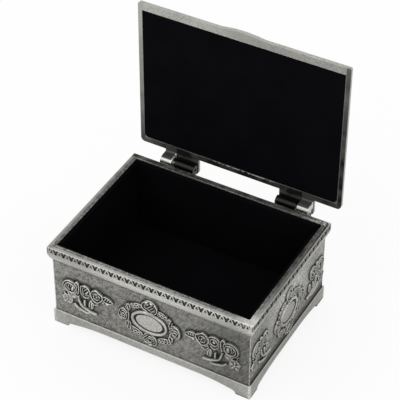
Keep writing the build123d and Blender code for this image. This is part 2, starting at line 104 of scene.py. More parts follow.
class Nodes:
    # a short way to add nodes to one material
    def __init__(self, name):
        self.material = bpy.data.materials.new(name)
        self.material.use_nodes = True
        self.tree = self.material.node_tree
        self.shader = self.tree.nodes["Principled BSDF"]
        self.measures = {}

    def add(self, kind, **settings):
        node = self.tree.nodes.new("ShaderNode" + kind)
        for key, value in settings.items():
            setattr(node, key, value)
        return node

    def link(self, output, socket):
        self.tree.links.new(output, socket)

    def put(self, value, socket):
        if isinstance(value, bpy.types.NodeSocket):
            self.link(value, socket)
        elif isinstance(value, tuple):
            socket.default_value = (*value, 1)
        else:
            socket.default_value = value

    def math(self, operation, *values):
        node = self.add("Math", operation=operation)
        for socket, value in zip(node.inputs, values):
            self.put(value, socket)
        return node.outputs[0]

    def mapRange(self, value, low, high, toLow=0.0, toHigh=1.0):
        node = self.add("MapRange", clamp=True)
        for name, number in zip(("Value", "From Min", "From Max", "To Min", "To Max"),
                                (value, low, high, toLow, toHigh)):
            self.put(number, node.inputs[name])
        return node.outputs["Result"]

    def mix(self, kind, share, first, second):
        # the node has sockets for every kind, all with the same names
        factor, a, b, result = {"FLOAT": (0, 2, 3, 0), "RGBA": (0, 6, 7, 2)}[kind]
        node = self.add("Mix", data_type=kind)
        self.put(share, node.inputs[factor])
        self.put(first, node.inputs[a])
        self.put(second, node.inputs[b])
        return node.outputs[result]

    def coords(self):
        return self.add("TexCoord").outputs["Object"]

    def noise(self, scale, detail=3.0, roughness=0.5, vector=None):
        node = self.add("TexNoise")
        self.link(vector or self.coords(), node.inputs["Vector"])
        node.inputs["Scale"].default_value = scale
        node.inputs["Detail"].default_value = detail
        node.inputs["Roughness"].default_value = roughness
        return node.outputs["Fac"]

    def mottle(self, mottle, *shares):
        # a noise stretched over its span
        scale, detail, roughness, *span = mottle
        return self.mapRange(self.noise(scale, detail, roughness), *span, *shares)

    def measure(self, name):
        # x, y or z, outX or outY from the middle to either side, or how far it is from a point
        if name in self.measures:
            return self.measures[name]
        if isinstance(name, tuple):
            node = self.add("VectorMath", operation="DISTANCE")
            node.inputs[1].default_value = Vector(name) * mm
            value = node.outputs["Value"]
        else:
            node = self.add("SeparateXYZ")
            value = node.outputs[name[-1].upper()]
        self.link(self.coords(), node.inputs[0])
        self.measures[name] = self.math("ABSOLUTE", value) if name in ("outX", "outY") else value
        return self.measures[name]

    def patches(self, table):
        # the strongest patch at each point
        strongest = 0.0
        for mottle, steps in table.values():
            share = self.mottle(mottle) if mottle else 1.0
            for name, start, end, *shares in steps:
                step = self.mapRange(self.measure(name), start * mm, end * mm, *shares)
                share = self.math("MULTIPLY", share, step)
            strongest = self.math("MAXIMUM", strongest, share)
        return strongest

    def bump(self, height, distance):
        node = self.add("Bump")
        node.inputs["Distance"].default_value = distance
        self.link(height, node.inputs["Height"])
        self.link(node.outputs["Normal"], self.shader.inputs["Normal"])


# A noise is its scale, detail and roughness. Where it is stretched, its span follows, and then what that
# becomes, which is 0 and 1 where none is given.
pewterLook = {
    "smooth": (0.50, 0.495, 0.466),     # worn smooth metal
    "dull": (0.43, 0.425, 0.398),
    "ground": (0.40, 0.396, 0.371),     # stippled ground behind the relief
    "patinaAndShade": (0.022, 0.0215, 0.020),   # black left in hollows, and the black of painted shade
    "crest": (0.74, 0.735, 0.70),       # rubbed ridges, and the tone of painted highlights
    "shine": (0.28, 0.38),              # roughness from and to
    "gloss": 0.25,                      # reflection from the black
    "hollow": 0.8,                      # how far a hollow reaches
    "hollowShade": (0.93, 0.50),        # openness at which it starts to blacken and is full black
    "ridgeLight": (0.012, 0.045),       # how far a ridge stands out where it starts to shine and fully shines
    "ridgeDark": (0.001, -0.024),       # the same for grooves and black
}
wallLook = {**pewterLook, "hollow": 1.5, "hollowShade": (0.965, 0.66)}
endLook = {**pewterLook, "hollow": 1.1, "hollowShade": (0.96, 0.52), "ridgeLight": (0.034, 0.070),
           "ridgeDark": (0.012, -0.010), "crest": (0.86, 0.855, 0.82)}
lidLook = {**wallLook, "patinaAndShade": (0.010, 0.0098, 0.0092), "gloss": 0.08}
trimLook = {**pewterLook, "smooth": (0.76, 0.755, 0.72), "dull": (0.60, 0.595, 0.565)}
knuckleLook = {**pewterLook, "smooth": (0.62, 0.62, 0.58), "dull": (0.44, 0.44, 0.41), "shine": (0.14, 0.30)}
castMetal = {
    "cloud": (60.0, 2.0, 0.5, 0.35, 0.65),             # dull clouds in the smooth metal
    "pits": (1300.0, 3.0, 0.7, 0.42, 0.66, 0.0, 0.30),  # fine dark pits in it
    "fine": (1100.0, 4.0, 0.6), "fineSpan": (0.3, 0.7), "fineDepth": 0.006,
    "ridgeNoise": 0.08,                 # how much the fine noise breaks up the shine of ridges
    "worn": (0.5, 1.0),                 # wear and painted highlight from which bare metal turns chalky, and is fully so
    "wearAndHighlightMetal": 0.55, "wearAndHighlightRough": 0.12, "wearAndHighlightBlack": 0.1,
    "black": (0.3, 1.0),                # patina from which metal turns into its crust, and is fully so
    "blackMetal": 0.25, "blackRough": 0.25,
    "hollowSamples": 12,
}
stippling = {
    "grain": (2200.0, 2.0, 0.6), "grainShare": 0.7,
    "broad": (660.0, 2.0, 0.5), "broadShare": 0.3,
    "span": (0.43, 0.57),               # mixed noise from black to bare
    "black": 0.72,                      # how black it is between the grains
    "depth": 0.09, "rough": 0.14,
    "stroke": (1540.0, 2.0, 0.5),       # slanting brush strokes, which take over towards the right
    "strokeSpan": (0.40, 0.60), "strokeSlant": -53, "strokeLength": 7,
    "strokes": {"right": (None, [("x", 0, 20, 0, 0.40)])},
}


def stipple(n, look):
    # how bare the stippled ground is at each point
    grain = n.math("MULTIPLY", n.noise(*look["grain"]), look["grainShare"])
    broad = n.math("MULTIPLY", n.noise(*look["broad"]), look["broadShare"])
    specks = n.mapRange(n.math("ADD", grain, broad), *look["span"])
    slant = n.add("Mapping", vector_type="TEXTURE")
    slant.inputs["Rotation"].default_value = (0, math.radians(look["strokeSlant"]), 0)
    slant.inputs["Scale"].default_value = (look["strokeLength"], 1, 1)
    n.link(n.coords(), slant.inputs["Vector"])
    strokes = n.mapRange(n.noise(*look["stroke"], slant.outputs[0]), *look["strokeSpan"])
    return n.mix("FLOAT", n.patches(look["strokes"]), specks, strokes)


def pewter(name, look, patinaAndShade=None, wearAndHighlights=None, ground=None, clean=None, crest=False):
    # patina and painted shade, wear and painted highlights, ground and clean are patches; crest is for a
    # casting that carries its ridges and grooves
    n = Nodes(name)
    metal = castMetal
    fine = n.noise(*metal["fine"])
    tone = n.mix("RGBA", n.mottle(metal["cloud"]), look["dull"], look["smooth"])
    rough = n.mapRange(fine, *metal["fineSpan"], *look["shine"])
    height = n.math("MULTIPLY", fine, metal["fineDepth"] * mm)

    if ground:
        field = n.patches(ground)
        bare = stipple(n, stippling)
        dark = n.math("MULTIPLY", n.math("SUBTRACT", 1.0, bare), stippling["black"])
        tone = n.mix("RGBA", field, tone, n.mix("RGBA", dark, look["ground"], look["patinaAndShade"]))
        relief = n.math("MULTIPLY", n.math("MULTIPLY", bare, stippling["depth"] * mm), field)
        height = n.math("ADD", height, relief)
        rough = n.math("ADD", rough, n.math("MULTIPLY", field, stippling["rough"]))

    metallic = 1.0
    # worn is the share of wear and painted highlight; it brightens towards the crest tone
    if wearAndHighlights:
        worn = n.patches(wearAndHighlights)
        tone = n.mix("RGBA", worn, tone, look["crest"])
        rough = n.math("ADD", rough, n.math("MULTIPLY", worn, metal["wearAndHighlightRough"]))
        metallic = n.mapRange(worn, *metal["worn"], 1.0, metal["wearAndHighlightMetal"])

    # the dark patina left in corners and grooves
    hollow = n.add("AmbientOcclusion", samples=metal["hollowSamples"])
    hollow.inputs["Distance"].default_value = look["hollow"] * mm
    black = n.mapRange(hollow.outputs["AO"], *look["hollowShade"])
    if clean:
        black = n.math("MULTIPLY", black, n.math("SUBTRACT", 1.0, n.patches(clean)))
    if crest:
        ridge = n.add("Attribute", attribute_name="crest").outputs["Fac"]
        uneven = n.math("MULTIPLY", n.math("SUBTRACT", fine, 0.5), metal["ridgeNoise"])
        shiny = n.mapRange(n.math("ADD", ridge, uneven), *look["ridgeLight"])
        tone = n.mix("RGBA", shiny, look["ground"], look["crest"])
        black = n.math("MAXIMUM", n.mapRange(ridge, *look["ridgeDark"]), black)
    # the listed patches of patina and painted shade blacken the metal
    if patinaAndShade:
        black = n.math("MAXIMUM", black, n.patches(patinaAndShade))
    if wearAndHighlights:
        black = n.math("MULTIPLY", black, n.mapRange(worn, *metal["worn"], 1.0, metal["wearAndHighlightBlack"]))
    if not crest:
        pits = n.mottle(metal["pits"])
        if ground:
            pits = n.math("MULTIPLY", pits, n.math("SUBTRACT", 1.0, field))
        black = n.math("MAXIMUM", black, pits)

    n.link(n.mix("RGBA", black, tone, look["patinaAndShade"]), n.shader.inputs["Base Color"])
    n.link(n.mapRange(black, *metal["black"], metallic, metal["blackMetal"]), n.shader.inputs["Metallic"])
    n.link(n.math("ADD", rough, n.math("MULTIPLY", black, metal["blackRough"])), n.shader.inputs["Roughness"])
    n.shader.inputs["Specular IOR Level"].default_value = look["gloss"]
    n.bump(height, 1.0)
    return n.material


# Patina and painted shade, wear and painted highlights, and the stippled ground lie in patches. Each has a
# noise that mottles it, or None, and soft steps that are multiplied: what is measured, from where to where,
# and the share before and after, which is 0 and 1 where none is given.
streaks = (1500.0, 2.0, 0.5, 0.35, 0.6, 0.87, 1.0)
cloud = (220.0, 4.0, 0.65, 0.3, 0.7, 0.5, 1.4)
specks = (1600.0, 2.0, 0.5, 0.42, 0.58, 0.0, 1.2)
broken = (700.0, 3.0, 0.5, 0.38, 0.55)
lidCloud = (160.0, 3.0, 0.5, 0.3, 0.7, 0.86, 1.12)
lidBroken = (380.0, 2.0, 0.5, 0.42, 0.52)

# the faces of the four walls, the rim's top, its zigzag band and the belly under it
wallFace = [("z", 6.80, 6.90), ("z", 32.85, 32.95, 1, 0)]
rimTop = [("z", 39.65, 39.75)]
zigzagBand = [("z", 37.05, 37.15), ("z", 39.55, 39.65, 1, 0)]
bellyBand = [("z", 32.85, 33.15), ("z", 36.95, 37.25, 1, 0)]
boxGround = {"walls": (None, [("outX", 43.10, 43.20, 1, 0), ("outY", 31.40, 31.50, 1, 0)])}
# Black patches on the box. Behind the zigzag is patina; the foot of the walls, the line under the belly and
# the rim's top are painted shade, and the others darken as listed.
boxPatinaAndShade = {
    "behind the zigzag": (streaks, [("outX", 44.22, 44.28, 1, 0), ("outY", 32.52, 32.58, 1, 0),
                                    ("z", 37.05, 37.11), ("z", 39.56, 39.62, 1, 0)]),
    # painted shadow: the end walls darker towards their foot, a painted reflection of the shaded table
    "foot of the end walls": (None, [*wallFace, ("outX", 42.8, 42.9), ("z", 7.4, 11.0, 0.92, 0)]),
    # painted shade in a line along the foot of the walls, stronger towards the right
    "line at the foot": (None, [*wallFace, ("z", 7.0, 7.6, 1, 0), ("x", 12, 30, 0.22, 0.6)]),
    # painted shade in a line under the belly
    "line under the belly": (None, [*wallFace, ("z", 32.2, 32.7, 0, 0.5)]),
    # the front wall darker towards the right
    "front right": (None, [*wallFace, ("y", -31.0, -31.2), ("x", 18, 34, 0, 0.40)]),
    # painted reflection of the dark lining on the rim's top, on the left, right, back and front left
    "rim, left": (cloud, [*rimTop, ("x", -41.2, -41.8), ("y", -20, 20, 0.28, 0.50)]),
    "rim, right": (cloud, [*rimTop, ("x", 41.2, 41.8, 0, 0.90), ("x", 42.4, 43.4, 1, 0.4),
                           ("y", -20, -8), ("y", 18, 30, 1, 0)]),
    "rim, back": (cloud, [*rimTop, ("y", 30.3, 30.8, 0, 0.86), ("x", 18, 30, 1, 0)]),
    "rim, front left": (cloud, [*rimTop, ("y", -30, -31), ("x", -5, -25, 0, 0.16)]),
    # the zigzag darker on the ends and towards the left, the plinth darker on the ends, and the belly darker
    # towards the ends
    "zigzag, ends": (None, [*zigzagBand, ("outX", 43.9, 44.0, 0, 0.70)]),
    "zigzag, left": (None, [*zigzagBand, ("x", -10, -28, 0, 0.38)]),
    "plinth, ends": (None, [("z", 3.3, 4.7), ("z", 6.2, 7.6, 1, 0), ("outX", 43.2, 43.4, 0, 0.16)]),
    "belly": (cloud, [("z", 34.8, 35.8), ("z", 36.5, 37.5, 1, 0), ("outX", 10, 28, 0.05, 0.24)]),
}
# Patches brightened towards the crest tone. The upright edges and the rim's front right corner are painted
# highlights; the others are lighter as listed.
boxWearAndHighlights = {
    "belly": (None, [*bellyBand, ("outX", 12, 30, 0.85, 0.42)]),
    "belly, ends": (None, [*bellyBand, ("outX", 43.0, 43.3, 0, 0.45)]),
    "plinth, front": (None, [("y", -31.2, -31.3), ("z", 6.8, 6.7), ("outX", 10, 32, 0.30, 0.05)]),
    "lip above the zigzag": (None, [("z", 39.6, 39.7), ("y", -31.2, -32.0), ("x", -22, 0, 0, 0.30)]),
    # painted highlight along the upright corner edges
    "upright edges": ((*broken, 0.5, 1.0), [("outX", 42.55, 42.90), ("outY", 30.85, 31.20, 0, 0.9),
                                            ("z", 32.8, 32.6)]),
    # painted highlight on the rim's front right corner
    "rim, front right": ((*broken, 0.65, 1.0), [((44.0, -32.3, 39.8), 2.6, 9.5, 1, 0)]),
    "rim, back right": ((*broken, 0.25, 1.0), [*rimTop, ("y", 30.0, 30.2), ("x", 26, 38, 0, 0.85)]),
    "rim, back, inner edge": ((*broken, 0.6, 1.0), [("y", 29.75, 29.85), ("y", 30.35, 30.45, 1, 0),
                                                    ("z", 39.3, 39.4), ("x", -30, 0, 0.20, 0.45)]),
    "end walls": (specks, [("outX", 42.8, 42.9), ("z", 16, 20), ("z", 30.8, 34.8, 1, 0),
                           ("outY", 6, 20, 0.80, 0.26), ("y", -22, -12, 0.4, 1)]),
}
# where the patina is rubbed out of the corners
boxClean = {
    "belly": (None, [("z", 32.83, 32.93, 0, 0.75), ("z", 36.95, 37.05, 1, 0)]),
    "foot of the front": (None, [("y", -30, -31), ("z", 10.5, 8.5, 0, 0.75), ("x", 15, 30, 1, 0.3)]),
}
# the relief darker towards the right of the front wall
reliefDarkerRight = {"front right": (None, [("y", -30.0, -30.2), ("x", 12, 38, 0, 0.48)])}

# the lid as it stands open: the sunk field on its outside, and the bare border round its lining
lidInside = [("y", 40.1, 39.8)]
lidGround = {"field": (None, [("y", 42.95, 43.00), ("y", 43.20, 43.25, 1, 0)])}
# painted shade on the border round the lid's lining: dark along the hinge side, darker down the left and
# right sides towards the hinges, and a little along the middle of the top
lidPaintedShade = {
    "hinge side": (lidCloud, [*lidInside, ("z", 45.0, 43.6, 0, 0.95), ("z", 40.5, 41.5, 0.88, 1.03),
                              ("x", -41, -35, 0.82, 1), ("x", 32, 36, 1, 0.93)]),
    "right": (lidCloud, [*lidInside, ("x", 43.0, 43.6), ("z", 50, 100, 0.98, 0.80)]),
    "left": (lidCloud, [*lidInside, ("x", -42.5, -43.0), ("z", 45, 106, 0.80, 0.14)]),
    "top": (lidCloud, [*lidInside, ("z", 106.2, 106.7, 0, 0.15), ("x", -26, -6), ("x", 6, 26, 1, 0)]),
}
# a broken bright line under the lining: painted glints on worn metal
lidWearAndGlint = {
    "line under the lining": (lidBroken, [*lidInside, ("z", 43.35, 43.55), ("z", 43.90, 44.10, 1, 0),
                                          ("x", -26, -22), ("x", -13, -9, 0.474, 1),
                                          ("x", 14, 18, 0.95, 0.45), ("x", 32, 36, 1, 0)]),
}

knuckleEdge = [("z", 39.05, 39.35), ("z", 40.75, 41.05, 1, 0)]
# painted shade on the knuckles: the top and the strap dark as a painted reflection of the dark lining, and
# the underside dark
knucklePaintedShade = {
    "top and strip": (None, [("z", 39.8, 40.1, 0, 0.93)]),
    "underside": (None, [("z", 38.1, 37.7, 0, 0.9)]),
}
# painted highlights in a bright strip near one end of each knuckle's top
knuckleHighlights = {
    "left": (None, [*knuckleEdge, ("x", -28.85, -28.75), ("x", -27.05, -26.95, 1, 0)]),
    "right": (None, [*knuckleEdge, ("x", 33.0, 33.1)]),
}

steelLook = {
    # the pin's near-white colour and low metallic are a painted highlight where it shows between knuckle and
    # lug
    "dark": (0.026, 0.028, 0.026), "pin": (0.90, 0.90, 0.88),
    "pinMetal": 0.2,
    "grain": (1500.0, 3.0, 0.5, 0.3, 0.7),
    "shade": 0.8,                       # darkest part of the grain against the colour
    "shine": (0.3, 0.4),
}


def steel(name, look, colour, metallic=1.0):
    n = Nodes(name)
    shaded = tuple(look["shade"] * c for c in colour)
    n.link(n.mix("RGBA", n.mottle(look["grain"]), colour, shaded), n.shader.inputs["Base Color"])
    n.link(n.mottle(look["grain"], *look["shine"]), n.shader.inputs["Roughness"])
    n.shader.inputs["Metallic"].default_value = metallic
    return n.material


velvetLook = {
    "pile": (0.0034, 0.0032, 0.0040), "pileLight": (0.0042, 0.0040, 0.0050),
    "brushed": (90.0, 3.0, 0.5, 0.35, 0.7),     # where the pile lies the other way
    "nap": (2600.0, 2.0), "napDepth": 0.1,
    "sheen": 0.004, "sheenSpread": 0.4, "sheenTint": (0.8, 0.82, 1.0),
}
feltLook = {**velvetLook, "pile": (0.008, 0.008, 0.009), "pileLight": (0.014, 0.014, 0.016), "sheen": 0.03}


def velvet(name, look):
    n = Nodes(name)
    shade = n.mix("RGBA", n.mottle(look["brushed"]), look["pile"], look["pileLight"])
    n.link(shade, n.shader.inputs["Base Color"])
    n.shader.inputs["Roughness"].default_value = 1.0
    n.shader.inputs["Specular IOR Level"].default_value = 0.0
    n.shader.inputs["Sheen Weight"].default_value = look["sheen"]
    n.shader.inputs["Sheen Roughness"].default_value = look["sheenSpread"]
    n.put(look["sheenTint"], n.shader.inputs["Sheen Tint"])
    n.bump(n.noise(*look["nap"]), look["napDepth"] * mm)
    return n.material


cardLook = {
    "dark": (0.30, 0.28, 0.25), "light": (0.38, 0.36, 0.32),
    "fibre": (1200.0, 5.0, 0.7, 0.3, 0.7),
    "rough": 0.9,
}


def card(name, look):
    n = Nodes(name)
    shade = n.mix("RGBA", n.mottle(look["fibre"]), look["dark"], look["light"])
    n.link(shade, n.shader.inputs["Base Color"])
    n.shader.inputs["Roughness"].default_value = look["rough"]
    return n.material


boxPewter = pewter("boxPewter", wallLook, boxPatinaAndShade, boxWearAndHighlights, boxGround, boxClean)
lidPewter = pewter("lidPewter", lidLook, lidPaintedShade, lidWearAndGlint, lidGround)
reliefPewter = pewter("reliefPewter", pewterLook, reliefDarkerRight, crest=True)
endPewter = pewter("endPewter", endLook, crest=True)
trimPewter = pewter("trimPewter", trimLook, boxPatinaAndShade)
brightSteel = pewter("brightSteel", knuckleLook, knucklePaintedShade, knuckleHighlights)
darkSteel = steel("darkSteel", steelLook, steelLook["dark"])
# the pins carry a painted highlight in their near-white colour
pinSteel = steel("pinSteel", steelLook, steelLook["pin"], steelLook["pinMetal"])
blackVelvet = velvet("blackVelvet", velvetLook)
blackFelt = velvet("blackFelt", feltLook)
greyCard = card("greyCard", cardLook)


def dress(material, *names):
    for name in names:
        slots = nodes[name].data.materials
        slots.clear()
        slots.append(material)


dress(boxPewter, "box_body")
dress(lidPewter, "lid_plate")
dress(darkSteel, "hinge_lug_left", "hinge_lug_right")
dress(brightSteel, "hinge_knuckle_left", "hinge_knuckle_right")
dress(pinSteel, "hinge_pin_left", "hinge_pin_right")
dress(greyCard, "floor_board", "front_board", "back_board", "left_board", "right_board", "lid_board")
print("materials made")


ridgeForm = {
    "step": 0.35,
    "segments": 10,
    "ends": 0.72,            # width and height at its ends against its middle
    "taper": 0.12,           # how much of the swelling curve is left off at each end
}
plateForm = {"segments": 32, "margin": 0.12, "foot": 1.02, "top": 0.99, "sink": 0.2}
moundForm = {"around": 16, "up": 10}
# five open petals round a small button, sized against the blossom's radius
petals = {"count": 5, "turn": 18, "reach": 0.6, "length": 0.95, "width": 0.50}
button = {"size": 0.5, "rise": 0.08}


def smoothLine(points, step):
    # an even Catmull-Rom curve through the given points
    points = [Vector((*p, 0)) for p in points]
    ends = [2 * points[0] - points[1], *points, 2 * points[-1] - points[-2]]
    line = []
    for a, b, c, d in zip(ends, ends[1:], ends[2:], ends[3:]):
        count = max(2, round((c - b).length / step))
        for i in range(count):
            t = i / count
            line.append(0.5 * (2 * b + (c - a) * t + (2 * a - 5 * b + 4 * c - d) * t ** 2
                               + (3 * b - a - 3 * c + d) * t ** 3))
    return [*line, points[-1]]


def ridge(bm, width, height, points):
    # a rounded ridge along a curve, a little finer at both ends
    line = smoothLine(points, ridgeForm["step"])
    last = len(line) - 1
    ends, taper = ridgeForm["ends"], ridgeForm["taper"]
    frames = []
    for i, point in enumerate(line):
        ahead = line[min(i + 1, last)] - line[max(i - 1, 0)]
        along = taper + (1 - 2 * taper) * i / last
        share = ends + (1 - ends) * math.sin(math.pi * along) ** 0.5
        turn = Matrix.Rotation(math.atan2(ahead.y, ahead.x) + math.pi / 2, 4, "Z")
        turn = turn @ Matrix.Rotation(math.pi / 2, 4, "X")
        section = Matrix.Diagonal((width / 2 * share, height * share, 1, 1))
        frames.append(Matrix.Translation(point) @ turn @ section)
    segments = ridgeForm["segments"]
    ring = bmesh.ops.create_circle(bm, segments=segments, radius=1, cap_ends=True, matrix=frames[0])
    edges = list({e for v in ring["verts"] for e in v.link_edges})
    for before, after in zip(frames, frames[1:]):
        grown = bmesh.ops.extrude_edge_only(bm, edges=edges)["geom"]
        verts = vertsOf(grown)
        bmesh.ops.transform(bm, matrix=after @ before.inverted(), verts=verts)
        edges = [e for e in edgesOf(grown) if all(v in verts for v in e.verts)]
    bmesh.ops.holes_fill(bm, edges=edges)


def arc(x, y, r, start, end, tall=1.0, steps=10):
    angles = [math.radians(start + (end - start) * i / steps) for i in range(steps + 1)]
    return [(x + r * math.cos(a), y + r * tall * math.sin(a)) for a in angles]


def formPlace(x, y, z, turn, sizeX, sizeY, sizeZ):
    place = Matrix.Translation((x, y, z)) @ Matrix.Rotation(math.radians(turn), 4, "Z")
    return place @ Matrix.Diagonal((sizeX, sizeY, sizeZ, 1))


def mound(bm, x, y, length, width, height, turn=0.0):
    place = formPlace(x, y, 0, turn, length / 2, width / 2, height)
    around, up = moundForm["around"], moundForm["up"]
    bmesh.ops.create_uvsphere(bm, u_segments=around, v_segments=up, radius=1, matrix=place)


def plate(bm, x, y, halfX, halfY, height, turn=0.0):
    # a flat-topped form under a flower, a little larger than the one in the casting below
    form = plateForm
    middle = (height - form["sink"]) / 2
    place = formPlace(x, y, middle, turn, halfX + form["margin"], halfY + form["margin"], 1)
    bmesh.ops.create_cone(bm, cap_ends=True, segments=form["segments"], radius1=form["foot"],
                          radius2=form["top"], depth=height + form["sink"], matrix=place)


def blossom(x, y, r, height):
    forms = [(x, y, button["size"] * r, button["size"] * r, height + button["rise"], 0)]
    reach = petals["reach"] * r
    for k in range(petals["count"]):
        turn = 360 / petals["count"] * k + petals["turn"]
        px, py = x + reach * math.cos(math.radians(turn)), y + reach * math.sin(math.radians(turn))
        forms.append((px, py, petals["length"] * r, petals["width"] * r, height, turn))
    return forms


# Flat on the front wall, across from its middle and up from the table. Only the left spray is listed; the
# right one is its mirror image. Plates: place, half sizes, turn. Mounds: place, length, width, height, turn.
# Ridges: width, height, points.
spray = {
    "plates": [(-35.2, 22.4, 3.4, 3.4, 0), (-31.9, 23.3, 1.1, 2.9, 0), (-28.3, 23.0, 2.4, 3.0, 0),
               (-36.8, 15.4, 2.2, 2.2, 0), (-34.2, 17.9, 1.7, 1.2, 30), (-26.1, 16.6, 1.05, 2.0, 0)],
    "mounds": [(-34.05, 22.0, 3.0, 1.7, 1.05, 75), (-33.8, 17.8, 2.3, 2.0, 0.75, 20),
               (-26.62, 16.6, 4.1, 0.95, 0.9, 85), (-25.58, 16.6, 4.1, 0.95, 0.9, 97)],
    "ridges": [
        (0.66, 1.10, arc(-35.06, 22.4, 2.35, 0, 360, 1.0, 18)),
        (0.66, 0.95, arc(-35.06, 22.4, 3.3, 20, 235, 1.0, 14)),
        (0.50, 1.05, [(-36.4, 23.6), (-36.6, 22.6), (-36.1, 21.4)]),
        (0.50, 1.05, [(-35.6, 23.8), (-35.9, 22.3), (-35.3, 21.0)]),
        (0.70, 1.05, [(-33.1, 24.4), (-32.6, 25.8), (-31.9, 26.3), (-31.2, 25.4), (-31.1, 23.6),
                      (-31.3, 21.6), (-31.7, 20.3)]),
        (0.50, 0.95, [(-32.3, 24.6), (-32.2, 23.0), (-32.4, 21.4)]),
        (1.15, 1.05, [(-28.8, 18.3), (-28.75, 16.8), (-28.7, 15.4)]),
        (1.20, 1.10, [(-31.7, 19.5), (-31.2, 17.2), (-30.2, 15.1), (-28.0, 13.9), (-25.6, 13.1),
                      (-23.5, 13.0)]),
        (1.20, 1.10, [(-33.6, 14.5), (-32.0, 13.1), (-29.8, 12.4), (-27.7, 12.1), (-26.5, 12.7)]),
        (0.50, 0.85, [(-38.2, 18.6), (-37.5, 17.9), (-36.8, 17.3)]),
        (0.50, 0.85, [(-38.6, 20.4), (-37.8, 19.2)]),
        (0.50, 0.85, [(-36.6, 19.4), (-35.6, 18.2)]),
    ],
}
# the middle rose and the open blossom of the left spray, and of the right one
openRose = {
    "plates": [],
    "mounds": [(-27.7, 22.7, 3.3, 0.95, 1.12, 50), *blossom(-37.0, 15.1, 2.5, 0.58)],
    "ridges": [
        (0.64, 1.05, [(-29.7, 25.2), (-28.9, 26.0), (-27.6, 26.0), (-26.6, 25.2), (-26.1, 24.0),
                      (-26.2, 22.6)]),
        (0.60, 1.00, [(-30.2, 25.4), (-30.3, 23.6), (-30.1, 21.8), (-29.5, 20.5)]),
        (0.52, 1.00, [(-29.3, 24.4), (-29.4, 22.8), (-28.9, 21.2)]),
        (0.50, 1.05, [(-28.9, 23.2), (-28.0, 24.4), (-27.2, 24.9)]),
        (0.50, 1.00, [(-26.9, 21.4), (-26.3, 22.4)]),
        (0.60, 0.95, [(-29.3, 20.3), (-27.9, 20.0), (-26.6, 20.8)]),
    ],
}
roundRose = {
    "plates": [],
    "mounds": [(-28.2, 23.3, 1.7, 1.2, 1.05, 40), *blossom(-37.0, 15.1, 2.5, 0.86)],
    "ridges": [
        (0.60, 1.05, arc(-28.2, 23.3, 1.65, 0, 360, 1.0, 14)),
        (0.62, 1.00, arc(-28.2, 23.3, 2.75, 30, 150)),
        (0.60, 1.00, [(-30.2, 25.0), (-30.4, 23.4), (-30.0, 21.6), (-29.2, 20.6)]),
        (0.55, 0.95, [(-26.1, 24.6), (-25.9, 22.8), (-26.4, 21.2)]),
        (0.60, 0.95, [(-29.3, 20.4), (-28.0, 20.0), (-26.7, 20.6)]),
    ],
}
# the outer rose, bud and leaf that only the long walls and the lid carry
tip = {
    "plates": [(-23.2, 22.7, 2.7, 2.9, 0), (-18.6, 22.8, 2.0, 1.3, -5), (-24.4, 19.2, 1.2, 1.3, 0)],
    "mounds": [(-23.0, 22.7, 0.9, 0.8, 1.12, 0), (-19.35, 22.9, 1.9, 0.62, 0.92, 62),
               (-18.3, 22.9, 1.9, 0.62, 0.92, 62), (-17.3, 22.7, 1.5, 0.58, 0.90, 58),
               (-20.8, 20.2, 0.9, 0.9, 0.45, 0), (-18.9, 20.2, 1.25, 1.2, 0.42, 0)],
    "ridges": [
        (0.66, 1.05, [(-25.8, 23.0), (-25.2, 24.7), (-23.4, 25.9), (-22.0, 25.0), (-20.6, 24.2),
                      (-20.5, 22.6), (-21.5, 21.0), (-23.0, 19.7), (-24.6, 20.4), (-25.5, 21.6),
                      (-25.8, 23.0)]),
        (0.50, 1.05, [(-24.4, 23.6), (-23.6, 24.3), (-22.6, 24.1)]),
        (0.50, 1.05, [(-22.2, 23.9), (-21.7, 23.0), (-22.1, 22.0)]),
        (0.50, 1.05, [(-24.5, 22.8), (-24.2, 21.8), (-23.2, 21.3), (-22.4, 21.5)]),
        (0.60, 0.95, [(-25.9, 19.6), (-25.3, 18.7), (-24.4, 17.9)]),
        (0.60, 0.95, [(-22.6, 18.9), (-23.4, 18.4), (-24.4, 17.8)]),
        (0.48, 0.98, [(-20.5, 23.5), (-19.6, 24.3), (-18.2, 24.2), (-16.9, 23.5), (-15.8, 22.4)]),
        (0.48, 0.98, [(-20.4, 22.7), (-19.6, 21.7), (-18.2, 21.5), (-16.9, 21.6), (-15.9, 22.1)]),
    ],
}
